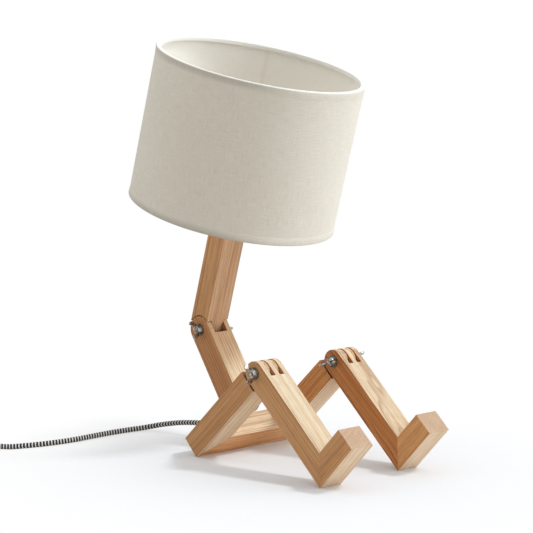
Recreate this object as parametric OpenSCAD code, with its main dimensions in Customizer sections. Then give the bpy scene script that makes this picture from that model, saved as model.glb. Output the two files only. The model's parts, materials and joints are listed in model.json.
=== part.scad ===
// Posable desk lamp shaped like a sitting figure: oak bars joined by finger hinges, a drum shade for a head.
// Frame: +X to the front (feet), +Y to the figure's left, +Z up. The origin is on the table, under the middle
// of the bounding box of the lamp without its free cord.

/* [Bars] */
// Thickness of the wooden bars, in the plane in which the hinges fold
bar_t = 24.5; // [20:0.5:30]
// Width of every wooden bar, along the hinge bolts
bar_w = 30; // [25:1:40]
// Diameter of the glued wooden dowels
dowel_d = 6; // [5:0.5:8]
// Length of the glued wooden dowels
dowel_l = 25; // [20:1:26]

/* [Hips and legs] */
// Width over both thighs
hips_w = 144.5; // [120:0.5:180]
// Thigh, from its lower end to the knee bolt
thigh_l = 128.7; // [110:0.1:150]
// Angle of the thighs above the table
thigh_a = 44.8; // [40:0.1:50]
// Shin, from the knee bolt to the underside of the heel
shin_l = 135.7; // [125:0.1:150]
// Foot, from the underside of the shin to the toe
foot_l = 60.5; // [45:0.5:80]
// Waist bolt, distance from the rear end of the hip bar
waist_s = 27.7; // [24:0.1:30]
// Waist bolt, height above the upper face of the hip bar
waist_h = 17.4; // [16:0.1:20]
// Thickness of the waist post
post_t = 22; // [20:0.5:24]
// Lean of the waist post from the normal of the hip bar's face
post_lean = 33.5; // [25:0.5:34]

/* [Torso and neck] */
// Thickness of the torso bar, which is the stoutest
torso_t = 28.4; // [24:0.1:30]
// Torso bar, between the waist bolt and the neck bolt
torso_l = 87.1; // [80:0.1:120]
// Angle of the torso bar above the table, leaning back
torso_a = 124.9; // [100:0.1:130]
// Neck bar, from the neck bolt to its top
neck_l = 127.6; // [100:0.1:140]
// Angle of the neck bar above the table
neck_a = 75.5; // [70:0.5:90]
// How far the middle of the neck bar lies behind the neck bolt
neck_back = 3; // [0:0.1:4]

/* [Finger hinges] */
// From a bolt to the flat bottom of a slot
slot_l = 13.7; // [13:0.1:16]
// From the knee bolt to the flat shoulder of the thigh
knee_shoulder = 13.9; // [12:0.1:14]
// From the neck bolt to the flat shoulder at the front of the neck bar
neck_shoulder = 12.6; // [12:0.1:14]
// From the neck bolt to the lower end of the neck bar's back
neck_heel = 4.6; // [4:0.1:10]
// From the neck bolt to the bottom of the slot in the torso bar
neck_slot = 11.4; // [11:0.1:14]
// Gap on each side of a tongue
finger_gap = 0.7; // [0.1:0.05:1]
// Gap between a round ear and the hollow shoulder around it
ear_gap = 1.3; // [0.5:0.1:1.5]
// Diameter of the bolts
bolt_d = 5; // [4:0.5:6]
// Radial clearance of the bolt holes
bolt_clear = 0.08; // [0.05:0.01:0.1]

/* [Shade] */
// Outside diameter of the shade
shade_d = 220; // [180:5:260]
// Height of the shade
shade_h = 161; // [140:0.5:200]
// From the neck bolt to the lower rim of the shade
shade_s = 132.8; // [130:0.1:142]
// Height of the folded hems at the rims
hem_h = 8.5; // [6:0.5:12]
// How far the fitter ring sits above the lower rim
fitter_rise = 36.5; // [34:0.5:38]

/* [Lamp holder and bulb] */
// Diameter of the bulb's globe
globe_d = 45; // [40:1:60]

/* [Cord] */
// Diameter of the braided cord
cord_d = 5.6; // [5:0.1:7]
// Diameter of the lead inside the bars
lead_d = 4.8; // [4:0.1:5]
// Radius of the cord coil, at the middle of its turns
coil_r = 31; // [28:1:34]
// Turns of cord side by side in the coil
coil_turns = 4; // [3:1:4]

/* [Hidden] */

$fn = 64;
eps = 0.01;
oak = "#d8b48a";
oak_dark = "#b98d5f";
steel = "#b9b7b2";
brass = "#c9a350";
linen = "#dcd6c5";
white = "#f0efea";
black = "#26262a";

bar_r = bar_t / 2;
torso_r = torso_t / 2;
finger_w = bar_w / 5;
bolt_r = bolt_d / 2;
hole_r = bolt_r + bolt_clear;
washer_r = 6.5;
washer_t = 1.2;
part_gap = 0.1;
post_w = 3 * finger_w - 2 * finger_gap;
// The knee tongues lie a little below the faces of the ears, the neck tongue is flush with the bar's front
tongue_r = bar_r - 0.8;
neck_tongue_r = bar_r - neck_back;

// Places of the bolts in the XZ plane, from the hip bar's lowest edge
function on_u(s, q) = [s * cos(thigh_a) - q * sin(thigh_a), s * sin(thigh_a) + q * cos(thigh_a)];
function step(p, a, l) = [p[0] + l * cos(a), p[1] + l * sin(a)];
knee = on_u(thigh_l, bar_r);
waist_q = bar_t + waist_h;
waist = on_u(waist_s, waist_q);
neck = step(waist, torso_a, torso_l);
// The point on the middle line of the neck bar that is beside its bolt
neck_mid = step(neck, neck_a + 90, neck_back);
// The shins slope so that the heels touch the table
shin_a = asin(knee[1] / norm([shin_l, bar_r])) - atan(bar_r / shin_l);
heel = step(step(knee, -shin_a, shin_l), -90 - shin_a, bar_r);
toe = step(heel, 90 - shin_a, foot_l);
shade_low = step(step(neck_mid, neck_a, shade_s), neck_a + 90, shade_d / 2);
mid_x = (shade_low[0] + toe[0]) / 2;
leg_y = (hips_w - bar_w) / 2;

// Moves the figure so that the origin is under the middle of its bounding box
module stand() translate([-mid_x, 0, 0]) children();

// Puts a piece drawn along +X at a point of the XZ plane, turned up by an angle
module at(p, a) stand() translate([p[0], 0, p[1]]) rotate([0, -a, 0]) children();

// The plane of the U frame: +X up along the thighs, +Z through their upper face
module u_plane() stand() rotate([0, -thigh_a, 0]) children();

// A plate between two heights in Y, from a shape drawn in X and Z
module plate(y0, y1) translate([0, y1, 0]) rotate([90, 0, 0]) linear_extrude(y1 - y0) children();

// A round bar or hole along Y
module rod_y(x, z, r, y0, y1) translate([x, y1, z]) rotate([90, 0, 0]) cylinder(r = r, h = y1 - y0);

// A round bar or hole along X
module rod_x(x0, x1, r) translate([x0, 0, 0]) rotate([0, 90, 0]) cylinder(r = r, h = x1 - x0);

// One ear or tongue from a bolt at the origin to a length along X
module finger_2d(l, r = bar_r) {
    circle(r = r);
    translate([0, -r]) square([l, 2 * r]);
}

// Fingers first, first + 2 ... of the five across a bar, each narrowed by a gap on both sides
module five_fingers(first, l, r = bar_r, gap = 0)
    for (i = [first : 2 : 4])
        plate(-bar_w / 2 + i * finger_w + gap, -bar_w / 2 + (i + 1) * finger_w - gap) finger_2d(l, r);

// The two outer ears of the torso bar at a waist or neck bolt
module outer_ears(l) for (y = [-bar_w / 2, bar_w / 2 - finger_w])
    plate(y, y + finger_w) finger_2d(l, torso_r);

// A hollow around round ears, over the parts of the bar's width where no tongue stands
module ear_hollow(y0, y1, ear_r = bar_r) rod_y(0, 0, ear_r + ear_gap, y0, y1);

module bolt_hole() rod_y(0, 0, hole_r, -bar_w, bar_w);

// Dowels centred on the origin along X, side by side in Y
module dowel_pair(spacing, extra = 0)
    for (y = [-spacing, spacing])
        translate([0, y, 0]) rod_x(-dowel_l / 2 - extra, dowel_l / 2 + extra, dowel_d / 2 + extra);

// ---- U frame: two thighs and the hip bar in one plane, mitred at the corners ----

dowel_clear = 0.05;
mitre_dowel_q = 5.5;
post_dowel_s = 21.5;
post_dowel_y = 4.5;
post_dowel_q = bar_t - 4;

// The two dowels across one mitre of the U frame
module mitre_dowels(side, extra = 0)
    translate([bar_w / 2, side * leg_y, bar_r]) rotate([0, 0, side * 45]) rotate([90, 0, 0])
        dowel_pair(mitre_dowel_q, extra);

// The two dowels that hold the waist post
module post_dowels(extra = 0)
    translate([post_dowel_s, 0, post_dowel_q]) rotate([0, -90, 0]) dowel_pair(post_dowel_y, extra);

module thigh(side) {
    shoulder = thigh_l - knee_shoulder;
    color(oak) u_plane() mirror([0, side > 0 ? 1 : 0, 0]) difference() {
        union() {
            linear_extrude(bar_t) polygon([
                [0, -hips_w / 2], [shoulder, -hips_w / 2],
                [shoulder, -hips_w / 2 + bar_w], [bar_w, -hips_w / 2 + bar_w]
            ]);
            translate([thigh_l, -leg_y, bar_r]) rotate([0, 180, 0])
                five_fingers(1, knee_shoulder + eps, tongue_r, finger_gap);
        }
        translate([thigh_l, -leg_y, bar_r]) {
            ear_hollow(-bar_w / 2 - 1, -bar_w / 2 + finger_w + finger_gap);
            ear_hollow(-finger_w / 2 - finger_gap, finger_w / 2 + finger_gap);
            ear_hollow(bar_w / 2 - finger_w - finger_gap, bar_w / 2 + 1);
            bolt_hole();
        }
        mitre_dowels(-1, dowel_clear);
    }
}

module right_thigh() thigh(-1);
module left_thigh() thigh(1);

module hip_bar() color(oak) difference() {
    u_plane() difference() {
        linear_extrude(bar_t) polygon([
            [0, -hips_w / 2], [bar_w, -hips_w / 2 + bar_w], [bar_w, hips_w / 2 - bar_w], [0, hips_w / 2]
        ]);
        for (side = [-1, 1]) mitre_dowels(side, dowel_clear);
        post_dowels(dowel_clear);
    }
    lead_bore();
}

module hip_dowels() color(oak_dark) u_plane() {
    for (side = [-1, 1]) mitre_dowels(side);
    post_dowels();
}

// ---- Waist post with the channel of the lead ----

post_r = post_t / 2;
post_a = thigh_a + 90 - post_lean;
lead_r = lead_d / 2;
bore_r = lead_r + 0.4;
// The lead passes behind the waist bolt
post_lead_z = 6.5;
// Where the cord enters the post, above the table
entry_z = 25.5;
// Length down the post from the waist bolt to the cord entry
entry_l = (waist[1] - entry_z + post_lead_z * cos(post_a)) / sin(post_a);

module waist_post() {
    along = [cos(90 - post_lean), sin(90 - post_lean)];
    across = [-along[1], along[0]];
    rear = [waist_s, waist_h] + post_r * across;
    front = [waist_s, waist_h] - post_r * across;
    rear_foot = rear - along * rear[1] / along[1];
    front_foot = front - along * front[1] / along[1];
    color(oak) difference() {
        u_plane() difference() {
            translate([0, 0, bar_t]) plate(-post_w / 2, post_w / 2) {
                polygon([rear, rear_foot, front_foot, front]);
                translate([waist_s, waist_h]) circle(r = post_r);
            }
            translate([waist_s, 0, waist_q]) bolt_hole();
            post_dowels(dowel_clear);
        }
        lead_bore();
    }
}

// The way of the lead through the post, for a lead or a bore of radius r: down beside the bolt, then out
// at the back
module post_way(r, up, out) at(waist, post_a + 180) {
    translate([0, 0, -post_lead_z]) rod_x(-up, entry_l, r);
    translate([entry_l, 0, -post_lead_z]) sphere(r = r);
    translate([entry_l, 0, -out]) cylinder(r = r, h = out - post_lead_z);
}

module lead_bore() post_way(bore_r, post_r + 1, post_r + 1);

module hip_lead() color(black) post_way(lead_r, post_r / 2, post_r - 0.2);

// The tapered grip where the cord leaves the back of the post
grip_l = 26;
grip_r = 3.9;
grip_tip_r = 3.3;

module cord_grip() color(black) at(waist, post_a + 180)
    translate([entry_l, 0, -post_r - grip_l]) cylinder(r1 = grip_tip_r, r2 = grip_r, h = grip_l);

// ---- Legs ----

heel_dowel_y = 8;

module leg_place(side) at(knee, -shin_a) translate([0, side * leg_y, 0]) children();

module heel_dowel_place() translate([shin_l - bar_r, 0, 0]) rotate([0, -45, 0]) children();

module shin(side) color(oak) leg_place(side) difference() {
    union() {
        plate(-bar_w / 2, bar_w / 2) polygon([
            [slot_l, -bar_r], [shin_l, -bar_r], [shin_l - bar_t, bar_r], [slot_l, bar_r]
        ]);
        five_fingers(0, slot_l);
    }
    bolt_hole();
    heel_dowel_place() dowel_pair(heel_dowel_y, dowel_clear);
}

module foot(side) color(oak) leg_place(side) difference() {
    plate(-bar_w / 2, bar_w / 2) polygon([
        [shin_l, -bar_r], [shin_l, foot_l - bar_r], [shin_l - bar_t, foot_l - bar_r], [shin_l - bar_t, bar_r]
    ]);
    heel_dowel_place() dowel_pair(heel_dowel_y, dowel_clear);
}

module heel_dowels(side) color(oak_dark) leg_place(side) heel_dowel_place() dowel_pair(heel_dowel_y);

module right_shin() shin(-1);
module left_shin() shin(1);
module right_foot() foot(-1);
module left_foot() foot(1);
module right_heel_dowels() heel_dowels(-1);
module left_heel_dowels() heel_dowels(1);

// ---- Bolts: a wing screw from the figure's left, a wing nut on its right, a washer under each ----

wing_t = 1.8;
wing_hub_r = 5.5;
wing_hub_tip_r = 4;
wing_hub_h = 3.8;
bolt_end = 0.8;
thread_clear = 0.06;

// Two wings and a hub that stand on Z = 0, with the wings along X
module wings() {
    cylinder(r1 = wing_hub_r, r2 = wing_hub_tip_r, h = wing_hub_h);
    for (turn = [0, 180]) rotate([0, 0, turn]) translate([0, wing_t / 2, 0]) rotate([90, 0, 0])
        linear_extrude(wing_t) polygon([
            [0, 0.8], [4.4, 0.8], [7, 2.4], [8.9, 5], [9.9, 7.9], [9.6, 9.4], [7.6, 10.7], [6.3, 10.4],
            [5.2, 7.6], [4, 3.7], [0, 3.7]
        ]);
}

// Puts hardware at a bolt: y is the middle of the hinge, side -1 is the nut's side, turn is the wings' angle
module at_bolt(p, y, side, turn)
    at(p, turn) translate([0, y + side * (bar_w / 2 + washer_t + part_gap), 0]) rotate([-side * 90, 0, 0])
        children();

module wing_nut(p, y, turn) color(steel) at_bolt(p, y, -1, turn) difference() {
    wings();
    translate([0, 0, -1]) cylinder(r = bolt_r + thread_clear, h = wing_hub_h + 2);
}

module wing_screw(p, y, turn) {
    shank = bar_w + 2 * (washer_t + part_gap) + wing_hub_h + bolt_end;
    color(steel) at_bolt(p, y, 1, turn) {
        wings();
        translate([0, 0, -shank]) cylinder(r = bolt_r, h = shank + 1);
    }
}

module washer_pair(p, y) at(p, 0)
    for (side = [-1, 1]) difference() {
        y0 = y + side * (bar_w + washer_t) / 2;
        rod_y(0, 0, washer_r, y0 - washer_t / 2, y0 + washer_t / 2);
        rod_y(0, 0, hole_r, y0 - washer_t, y0 + washer_t);
    }

module right_knee_screw() wing_screw(knee, -leg_y, 138);
module right_knee_nut() wing_nut(knee, -leg_y, 107);
module left_knee_screw() wing_screw(knee, leg_y, 45);
module left_knee_nut() wing_nut(knee, leg_y, 28);
module waist_screw() wing_screw(waist, 0, 90);
module waist_nut() wing_nut(waist, 0, 45);
module neck_screw() wing_screw(neck, 0, 170);
module neck_nut() wing_nut(neck, 0, 114);
module right_knee_washers() color(steel) washer_pair(knee, -leg_y);
module left_knee_washers() color(steel) washer_pair(knee, leg_y);
module torso_washers() color(steel) {
    washer_pair(waist, 0);
    washer_pair(neck, 0);
}

// ---- Torso and neck ----

module torso_bar() color(oak) at(waist, torso_a) difference() {
    union() {
        outer_ears(torso_l);
        translate([torso_l, 0, 0]) rotate([0, 180, 0]) outer_ears(1);
        plate(-bar_w / 2, bar_w / 2) translate([slot_l, -torso_r])
            square([torso_l - slot_l - neck_slot, torso_t]);
    }
    bolt_hole();
    translate([torso_l, 0, 0]) bolt_hole();
    rod_x(0, torso_l, bore_r);
}

// The lead ends a little below the slot, clear of the neck's lead when the neck leans right back
module torso_lead() color(black) at(waist, torso_a) rod_x(slot_l, torso_l - neck_slot - 2, lead_r);

// The lead runs from the middle of the neck bar's top down past the back of the neck bolt
neck_lead_z = 5.9;
neck_lead_a = atan((neck_lead_z - neck_back) / neck_l);
tube_l = 22;
tube_depth = 12;
tube_r = 4.95;

module neck_way(r, l0, l1) translate([neck_l, 0, 0]) rotate([0, neck_lead_a, 0]) rod_x(-l1, -l0, r);

module neck_bar() color(oak) at(neck_mid, neck_a) difference() {
    union() {
        plate(-bar_w / 2, bar_w / 2) polygon([
            [neck_shoulder, -bar_r], [neck_l, -bar_r], [neck_l, bar_r], [neck_heel, bar_r], [neck_heel, 0],
            [neck_shoulder, 0]
        ]);
        plate(-post_w / 2, post_w / 2)
            translate([0, -neck_back]) finger_2d(neck_shoulder + eps, neck_tongue_r);
    }
    translate([0, 0, -neck_back]) {
        ear_hollow(-bar_w, -post_w / 2, torso_r);
        ear_hollow(post_w / 2, bar_w, torso_r);
        bolt_hole();
    }
    neck_way(bore_r, -1, neck_l + bar_t);
    rod_x(neck_l - tube_depth, neck_l + 1, tube_r + dowel_clear);
}

module neck_lead() color(black) at(neck_mid, neck_a) neck_way(lead_r, tube_depth + 1, neck_l + 8.5);

// ---- Lamp holder on the neck bar, all along the neck's axis ----

// A turned piece from half its section, drawn as [radius, length along the neck]
module turned(section) at(neck_mid, neck_a) rotate([0, 90, 0]) rotate_extrude() polygon(section);

holder_s = neck_l;
holder_r = 19.5;
cap_h = 19;
body_h = 36;
seat_s = shade_s + fitter_rise;

module threaded_tube() color(brass) turned([
    [3.4, neck_l - tube_depth], [tube_r, neck_l - tube_depth],
    [tube_r, neck_l - tube_depth + tube_l], [3.4, neck_l - tube_depth + tube_l]
]);

module holder_cap() color(white) turned([
    [tube_r + dowel_clear, holder_s], [11, holder_s], [12, holder_s + 1], [14, holder_s + 4],
    [holder_r - 1, holder_s + 9], [holder_r, holder_s + 11], [holder_r, holder_s + cap_h],
    [holder_r - 2, holder_s + cap_h], [holder_r - 2, holder_s + 12], [tube_r + dowel_clear, holder_s + 6]
]);

module holder_body() {
    low = holder_s + cap_h;
    color(white) turned([
        [holder_r - 2, low], [holder_r, low], [holder_r, seat_s - 6], [23, seat_s - 2], [23, seat_s],
        [18.8, seat_s], [18.8, low + body_h], [16.6, low + body_h], [16.6, low + 7], [holder_r - 2, low + 6]
    ]);
}

block_s = holder_s + cap_h + 0.5;

module contact_block() color(white) turned([
    [2.2, block_s], [16, block_s], [16, block_s + 5], [14.5, block_s + 5], [14.5, block_s + 8],
    [2.2, block_s + 8]
]);

module centre_contact() color(brass) at(neck_mid, neck_a) {
    rod_x(block_s - 2, block_s + 8.4, 2.1);
    translate([block_s + 8.4, -3.5, -3]) cube([0.8, 12, 6]);
}

module screw_shell() color(brass) turned([
    [13.5, block_s + 8.1], [14.1, block_s + 8.1], [14.1, block_s + 30], [13.5, block_s + 30]
]);

// The fitter frame: a ring that sits on the holder, three arms and the wire of the lower rim, welded together
fitter_r = 25;
fitter_t = 1.5;
wire_r = 1.6;
skin_t = 0.5;
liner_t = 0.4;
shade_r = shade_d / 2;
cover_r = shade_r - 0.3;
wire_ring_r = cover_r - skin_t - liner_t - wire_r - 0.1;
rim_gap = skin_t + wire_r + 0.1;
arm_r = 1.5;

module shade_nut() color(white) turned([
    [18.9, seat_s + fitter_t + 0.1], [23, seat_s + fitter_t + 0.1],
    [23, seat_s + fitter_t + 8], [18.9, seat_s + fitter_t + 8]
]);

module fitter_frame() color(white) at(neck_mid, neck_a) {
    rise = seat_s + fitter_t / 2 - shade_s - rim_gap;
    run = wire_ring_r - fitter_r + 1;
    rotate([0, 90, 0]) {
        translate([0, 0, seat_s]) difference() {
            cylinder(r = fitter_r, h = fitter_t);
            translate([0, 0, -1]) cylinder(r = 18.95, h = fitter_t + 2);
        }
        translate([0, 0, shade_s + rim_gap])
            rotate_extrude($fn = 128) translate([wire_ring_r, 0]) circle(r = wire_r);
        for (turn = [60 : 120 : 300]) rotate([0, 0, turn])
            translate([fitter_r - 1, 0, seat_s + fitter_t / 2])
                rotate([0, 90 + atan(rise / run), 0]) cylinder(r = arm_r, h = norm([rise, run]));
    }
}

module top_wire() color(steel) at(neck_mid, neck_a) rotate([0, 90, 0])
    translate([0, 0, shade_s + shade_h - rim_gap]) rotate_extrude($fn = 128)
        translate([wire_ring_r, 0]) circle(r = wire_r);

// ---- Shade: linen on a stiff liner, hems folded over the wires ----

module tube_wall(r, t, s0, s1) at(neck_mid, neck_a) rotate([0, 90, 0]) translate([0, 0, s0])
    rotate_extrude($fn = 128) translate([r - t, 0]) square([t, s1 - s0]);

module shade_cover() color(linen)
    tube_wall(cover_r, skin_t, shade_s + skin_t, shade_s + shade_h - skin_t);

module shade_liner() color(white)
    tube_wall(cover_r - skin_t, liner_t, shade_s + skin_t, shade_s + shade_h - skin_t);

// One hem, from its folded edge at height 0 upwards. Its inner lip only wraps the wire
lip_h = 4.2;
module hem() rotate_extrude($fn = 128) {
    inner = wire_ring_r - wire_r - 0.1;
    translate([cover_r, 0]) square([shade_r - cover_r, hem_h]);
    translate([inner - skin_t, 0]) square([shade_r - inner + skin_t, skin_t - 0.05]);
    translate([inner - skin_t, 0]) square([skin_t, lip_h]);
}

module top_hem() color(linen) at(neck_mid, neck_a) rotate([0, 90, 0])
    translate([0, 0, shade_s + shade_h]) mirror([0, 0, 1]) hem();

module bottom_hem() color(linen) at(neck_mid, neck_a) rotate([0, 90, 0]) difference() {
    translate([0, 0, shade_s]) hem();
    for (turn = [60 : 120 : 300]) rotate([0, 0, turn])
        translate([wire_ring_r - 8, -arm_r - 0.4, shade_s + skin_t]) cube([8, 2 * arm_r + 0.8, hem_h]);
}

// ---- Bulb ----

globe_r = globe_d / 2;
globe_s = seat_s + 40;
globe_t = 0.8;
cap_s = block_s + 9.4;
bulb_cap_r = 13.2;
bulb_cap_h = 24;

// The half section of the globe: a ball that runs down into a neck
module globe_2d(r, neck_r, drop) {
    intersection() {
        circle(r = r);
        translate([0, -r]) square([r, 2 * r]);
    }
    translate([0, -drop]) square([neck_r, drop - 8]);
    polygon([[0, -12], [0, -drop + 2], [neck_r, -drop + 2], [r * 0.72, -r * 0.69]]);
}

module bulb_globe() {
    drop = globe_s - cap_s - bulb_cap_h;
    color(white) at(neck_mid, neck_a) rotate([0, 90, 0])
        translate([0, 0, globe_s]) rotate_extrude() difference() {
            globe_2d(globe_r, bulb_cap_r, drop);
            translate([0, 0.001]) globe_2d(globe_r - globe_t, bulb_cap_r - globe_t, drop + 1);
        }
}

module bulb_cap() color(steel) turned([
    [0, cap_s], [4.5, cap_s], [5.5, cap_s + 1.5], [11, cap_s + 4], [bulb_cap_r - 0.2, cap_s + 6],
    [bulb_cap_r, cap_s + bulb_cap_h - 0.1], [bulb_cap_r - 0.6, cap_s + bulb_cap_h - 0.1],
    [bulb_cap_r - 0.8, cap_s + 8], [0, cap_s + 6]
]);

// ---- Cord: routes from the hip bar's lowest edge, in millimetres ----

cord_r = cord_d / 2;
// The tip of the grip, where the cord starts
grip_tip = step(step(waist, post_a + 180, entry_l), post_a + 90, post_r + grip_l);
run_start = step(grip_tip, post_a + 90, 6);
run_route = [
    [grip_tip[0], 0, grip_tip[1]], [run_start[0], 0, run_start[1]], [-58, -1, 16.9], [-70, -3, 15.7],
    [-85, -6, 14], [-98, -9, 12], [-110, -12, 9.5], [-121, -16, 6.8], [-129.5, -21.5, 4.4],
    [-134.5, -31, 3.1], [-137, -45, 2.8], [-138, -62, 2.8], [-138, -81, 2.8], [-137, -101, 2.8],
    [-136, -121, 2.8], [-137, -141, 2.8], [-140, -161, 2.8], [-145, -180, 2.8], [-149.5, -197, 3.2],
    [-151, -212, 5.5], [-151, -224, 7.5], [-151, -232, 7.5]
];
link_route = [
    [-151, -280, 7.5], [-151, -288, 7.5], [-152, -295, 5.5], [-155.5, -302, 3.6], [-162, -307.8, 2.8],
    [-171, -311, 2.8], [-181, -311.4, 2.8], [-192, -311.4, 2.8]
];
tail_route = [
    [-244, -252, 8], [-244, -246, 7.8], [-244, -240, 7.2], [-244, -233, 7]
];
coil_centre = [-207.5, -272];

function unit(v) = v / norm(v);
// Points of a Catmull-Rom curve through a route, two for each stretch
function between(p, i, t) =
    let (
        a = p[max(i - 1, 0)], b = p[i], c = p[i + 1], d = p[min(i + 2, len(p) - 1)]
    ) 0.5 * (2 * b + (c - a) * t + (2 * a - 5 * b + 4 * c - d) * t * t + (3 * b - a - 3 * c + d) * t * t * t);
function smooth(p) = concat([for (i = [0 : len(p) - 2], t = [0, 0.5]) between(p, i, t)], [p[len(p) - 1]]);
function heading(p, i) = unit(p[min(i + 1, len(p) - 1)] - p[max(i - 1, 0)]);

// A round tube swept along points that lie nearly level
module sweep(p, sides = 8) {
    n = len(p);
    rings = [for (i = [0 : n - 1], k = [0 : sides - 1])
        let (t = heading(p, i), side = unit(cross(t, [0, 0, 1])), up = cross(side, t), a = 360 * k / sides)
        p[i] + cord_r * (cos(a) * side + sin(a) * up)];
    walls = [for (i = [0 : n - 2], k = [0 : sides - 1])
        let (a = i * sides + k, b = i * sides + (k + 1) % sides)
        each [[a, b, b + sides], [a, b + sides, a + sides]]];
    ends = [[for (k = [sides - 1 : -1 : 0]) k], [for (k = [0 : sides - 1]) (n - 1) * sides + k]];
    polyhedron(points = rings, faces = concat(walls, ends));
}

module cord_run() color(black) stand() sweep(smooth(run_route));
module cord_link() color(black) stand() sweep(smooth(link_route));
module cord_tail() color(black) stand() sweep(smooth(tail_route));

module cord_coil() color(black) stand() translate([coil_centre[0], coil_centre[1], 0]) rotate_extrude()
    translate([coil_r - coil_turns * cord_r, 0]) square([coil_turns * cord_d, 2 * cord_d]);

// ---- Inline switch, with its length along Y ----

switch_l = 60;
switch_w = 22;
switch_h = 16;
switch_x = -151;
switch_y = -256;
switch_split = 8;
switch_round = 6;
entry_h = 7.5;
shell_t = 1.8;
rocker_l = 20;
rocker_w = 10;
rocker_z = 12;
rocker_tilt = 7;
rocker_pin_r = 1.25;
terminal = [7, 8, 7];
// How far the cord runs into the switch
cord_reach = 6;

module at_switch() stand() translate([switch_x, switch_y, 0]) children();

// The outline of the switch from above, inset by the shell's thickness for the hollow
module switch_2d(inset = 0) {
    w = switch_w / 2 - switch_round;
    l = switch_l / 2 - switch_round;
    r = switch_round - inset;
    square([2 * w, 2 * (l + r)], center = true);
    square([2 * (w + r), 2 * l], center = true);
    for (x = [-w, w], y = [-l, l]) translate([x, y]) circle(r = r);
}

// The two round holes through which the cord enters
module cord_entries() for (y = [-1, 1])
    translate([0, y * switch_l / 2, entry_h])
        rotate([90, 0, 0]) cylinder(r = cord_r + 0.1, h = 10, center = true);

module switch_base() color(black) at_switch() difference() {
    linear_extrude(switch_split) switch_2d();
    translate([0, 0, shell_t]) linear_extrude(switch_split) switch_2d(shell_t);
    cord_entries();
}

module switch_top() {
    pin_l = switch_w - 0.8;
    color(black) at_switch() difference() {
        translate([0, 0, switch_split]) linear_extrude(switch_h - switch_split) switch_2d();
        translate([0, 0, switch_split - 1])
            linear_extrude(switch_h - switch_split + 1 - shell_t) switch_2d(shell_t);
        translate([-rocker_w / 2 - 0.4, -rocker_l / 2 - 0.4, switch_h - 5])
            cube([rocker_w + 0.8, rocker_l + 0.8, 10]);
        cord_entries();
        translate([-pin_l / 2, 0, rocker_z]) rod_x(0, pin_l, rocker_pin_r + 0.06);
    }
}

// The rocker turns on a cross pin and rests with its end nearer the lamp raised
module switch_rocker() color(black) at_switch() translate([0, 0, rocker_z]) rotate([rocker_tilt, 0, 0]) {
    pin_l = switch_w - 1.2;
    translate([-rocker_w / 2, 0, 0]) rotate([90, 0, 90]) linear_extrude(rocker_w) polygon([
        [-rocker_l / 2 + 0.8, -2], [rocker_l / 2 - 0.8, -2], [rocker_l / 2 - 0.4, 4.6],
        [0, 3.4], [-rocker_l / 2 + 0.4, 4.6]
    ]);
    rod_x(-pin_l / 2, pin_l / 2, rocker_pin_r);
}

// The brass terminals that the ends of the cord meet
module switch_terminals() color(brass) at_switch() for (y = [-1, 1])
    translate([0, y * (switch_l / 2 - cord_reach - 0.1 - terminal[1] / 2), entry_h])
        cube(terminal, center = true);

// ---- Plug: flat two-pin ----

plug_x = -244;
plug_z = 7;
plug_y = -215;
plug_l = 36;
plug_w = 35;
plug_h = 14;
plug_boot_l = 18;
pin_d = 4;
pin_l = 19;
pin_gap = 18.6;

module at_plug() stand() translate([plug_x, plug_y, plug_z]) children();

module plug_body() color(black) at_plug() {
    translate([0, 0, -plug_h / 2]) linear_extrude(plug_h) polygon([
        [-7, 0], [7, 0], [plug_w / 2, plug_l * 0.55], [plug_w / 2, plug_l], [-plug_w / 2, plug_l],
        [-plug_w / 2, plug_l * 0.55]
    ]);
    translate([0, -plug_boot_l, 0]) rotate([-90, 0, 0]) cylinder(r1 = 3.6, r2 = 5.5, h = plug_boot_l + eps);
}

module plug_pins() color(brass) at_plug()
    for (side = [-1, 1]) translate([side * pin_gap / 2, plug_l, 0]) rotate([-90, 0, 0])
        cylinder(r = pin_d / 2, h = pin_l);

hip_bar();
right_thigh();
left_thigh();
waist_post();
hip_dowels();
hip_lead();
cord_grip();
right_shin();
right_foot();
right_heel_dowels();
right_knee_washers();
right_knee_screw();
right_knee_nut();
left_shin();
left_foot();
left_heel_dowels();
left_knee_washers();
left_knee_screw();
left_knee_nut();
torso_bar();
torso_lead();
torso_washers();
waist_screw();
waist_nut();
neck_screw();
neck_nut();
neck_bar();
neck_lead();
threaded_tube();
holder_cap();
holder_body();
contact_block();
centre_contact();
screw_shell();
shade_nut();
fitter_frame();
top_wire();
shade_cover();
shade_liner();
top_hem();
bottom_hem();
bulb_globe();
bulb_cap();
cord_run();
cord_link();
cord_coil();
cord_tail();
switch_base();
switch_top();
switch_terminals();
switch_rocker();
plug_body();
plug_pins();
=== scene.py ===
"""Looks of the posable desk lamp: oak bars, nickel wing bolts, a linen drum shade and a braided cord.

Every length is in metres in the row frame. +X is to the figure's front, +Y to its left, +Z up.
"""

import json
import math

import bmesh
import bpy
from mathutils import Matrix, Vector

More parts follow.
